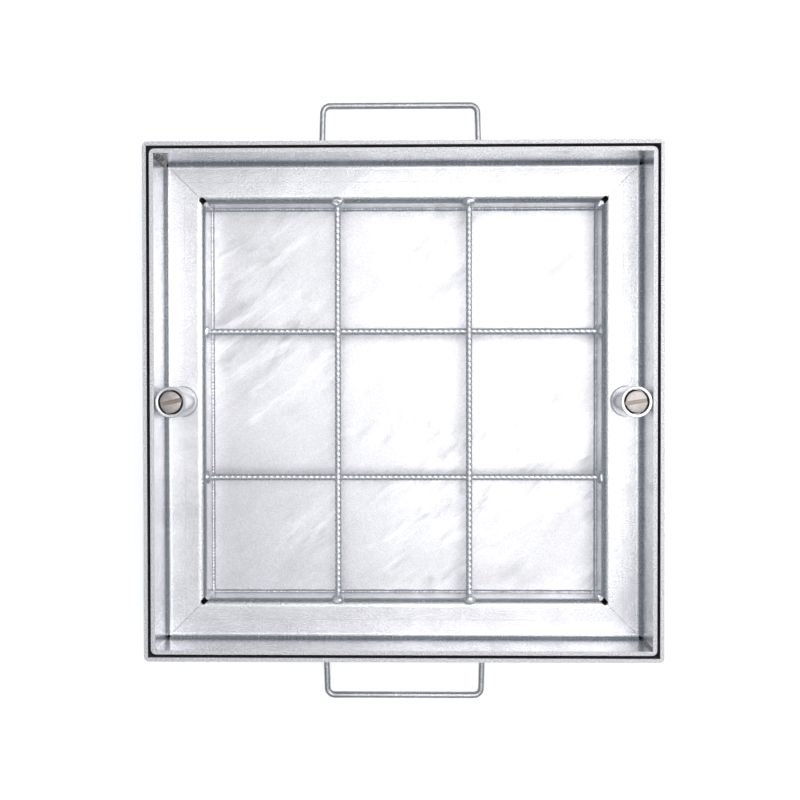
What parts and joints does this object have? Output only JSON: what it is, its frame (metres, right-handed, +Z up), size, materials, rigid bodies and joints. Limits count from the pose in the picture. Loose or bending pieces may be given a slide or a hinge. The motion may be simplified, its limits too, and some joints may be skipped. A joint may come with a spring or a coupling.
{
  "type": "recessed manhole cover",
  "caption": "Square recessed access cover of galvanised steel: a lift-out tray with reinforcing bars and screw-plugged lifting sockets, seated on a seal in a frame with anchor loops.",
  "frame": {"origin": "middle of the underside of the frame's leg, on the surface that the cover stands on", "axes": "+Z up out of the ground, +Y towards the anchor loop called north, +X towards the lifting socket called east"},
  "size_m": [0.5, 0.6, 0.1],
  "materials": {
    "galvanised_steel": "hot-dip galvanised, satin, fine grained",
    "zinc_coated_weld": "rippled weld under zinc",
    "galvanised_wire": "galvanised round wire, satin",
    "galvanised_rebar": "ribbed bar, galvanised",
    "stainless_steel": "turned stainless steel",
    "black_rubber": "matt EPDM rubber"
  },
  "bodies": {
    "frame": {"frame_side_north": "galvanised_steel", "frame_side_south": "galvanised_steel", "frame_side_east": "galvanised_steel", "frame_side_west": "galvanised_steel", "frame_corner_welds": "zinc_coated_weld", "seal": "black_rubber", "anchor_loop_north": "galvanised_wire", "anchor_loop_south": "galvanised_wire", "anchor_welds": "zinc_coated_weld"},
    "tray": {"tray_side_north": "galvanised_steel", "tray_side_south": "galvanised_steel", "tray_side_east": "galvanised_steel", "tray_side_west": "galvanised_steel", "tray_corner_welds": "zinc_coated_weld", "tray_plate": "galvanised_steel", "plate_seam_weld": "zinc_coated_weld", "upper_rebar_west": "galvanised_rebar", "upper_rebar_east": "galvanised_rebar", "lower_rebar_north": "galvanised_rebar", "lower_rebar_south": "galvanised_rebar", "rebar_end_welds": "zinc_coated_weld", "socket_welds": "zinc_coated_weld", "lifting_socket_west": "galvanised_steel", "lifting_socket_east": "galvanised_steel"},
    "washer_west": {"washer_west": "black_rubber"},
    "plug_west": {"plug_west": "stainless_steel"},
    "washer_east": {"washer_east": "black_rubber"},
    "plug_east": {"plug_east": "stainless_steel"}
  },
  "joints": [
    {"name": "tray_lift", "type": "slide", "parent": "frame", "child": "tray", "axis": [0, 0, 1], "range_m": [0, 0.15]},
    {"name": "plug_rise_west", "type": "slide", "parent": "tray", "child": "washer_west", "axis": [0, 0, 1], "range_m": [0, 0.02]},
    {"name": "plug_turn_west", "type": "hinge", "parent": "washer_west", "child": "plug_west", "pos_m": [-0.2233, 0, 0.0996], "axis": [0, 0, 1], "range_deg": [0, 3601]},
    {"name": "plug_rise_east", "type": "slide", "parent": "tray", "child": "washer_east", "axis": [0, 0, 1], "range_m": [0, 0.02]},
    {"name": "plug_turn_east", "type": "hinge", "parent": "washer_east", "child": "plug_east", "pos_m": [0.2233, 0, 0.0996], "axis": [0, 0, 1], "range_deg": [0, 3601]}
  ],
  "couplings": [
    {"joint": "plug_turn_west", "follows": "plug_rise_west", "rad_per_m": 3141.6},
    {"joint": "plug_turn_east", "follows": "plug_rise_east", "rad_per_m": 3141.6}
  ]
}
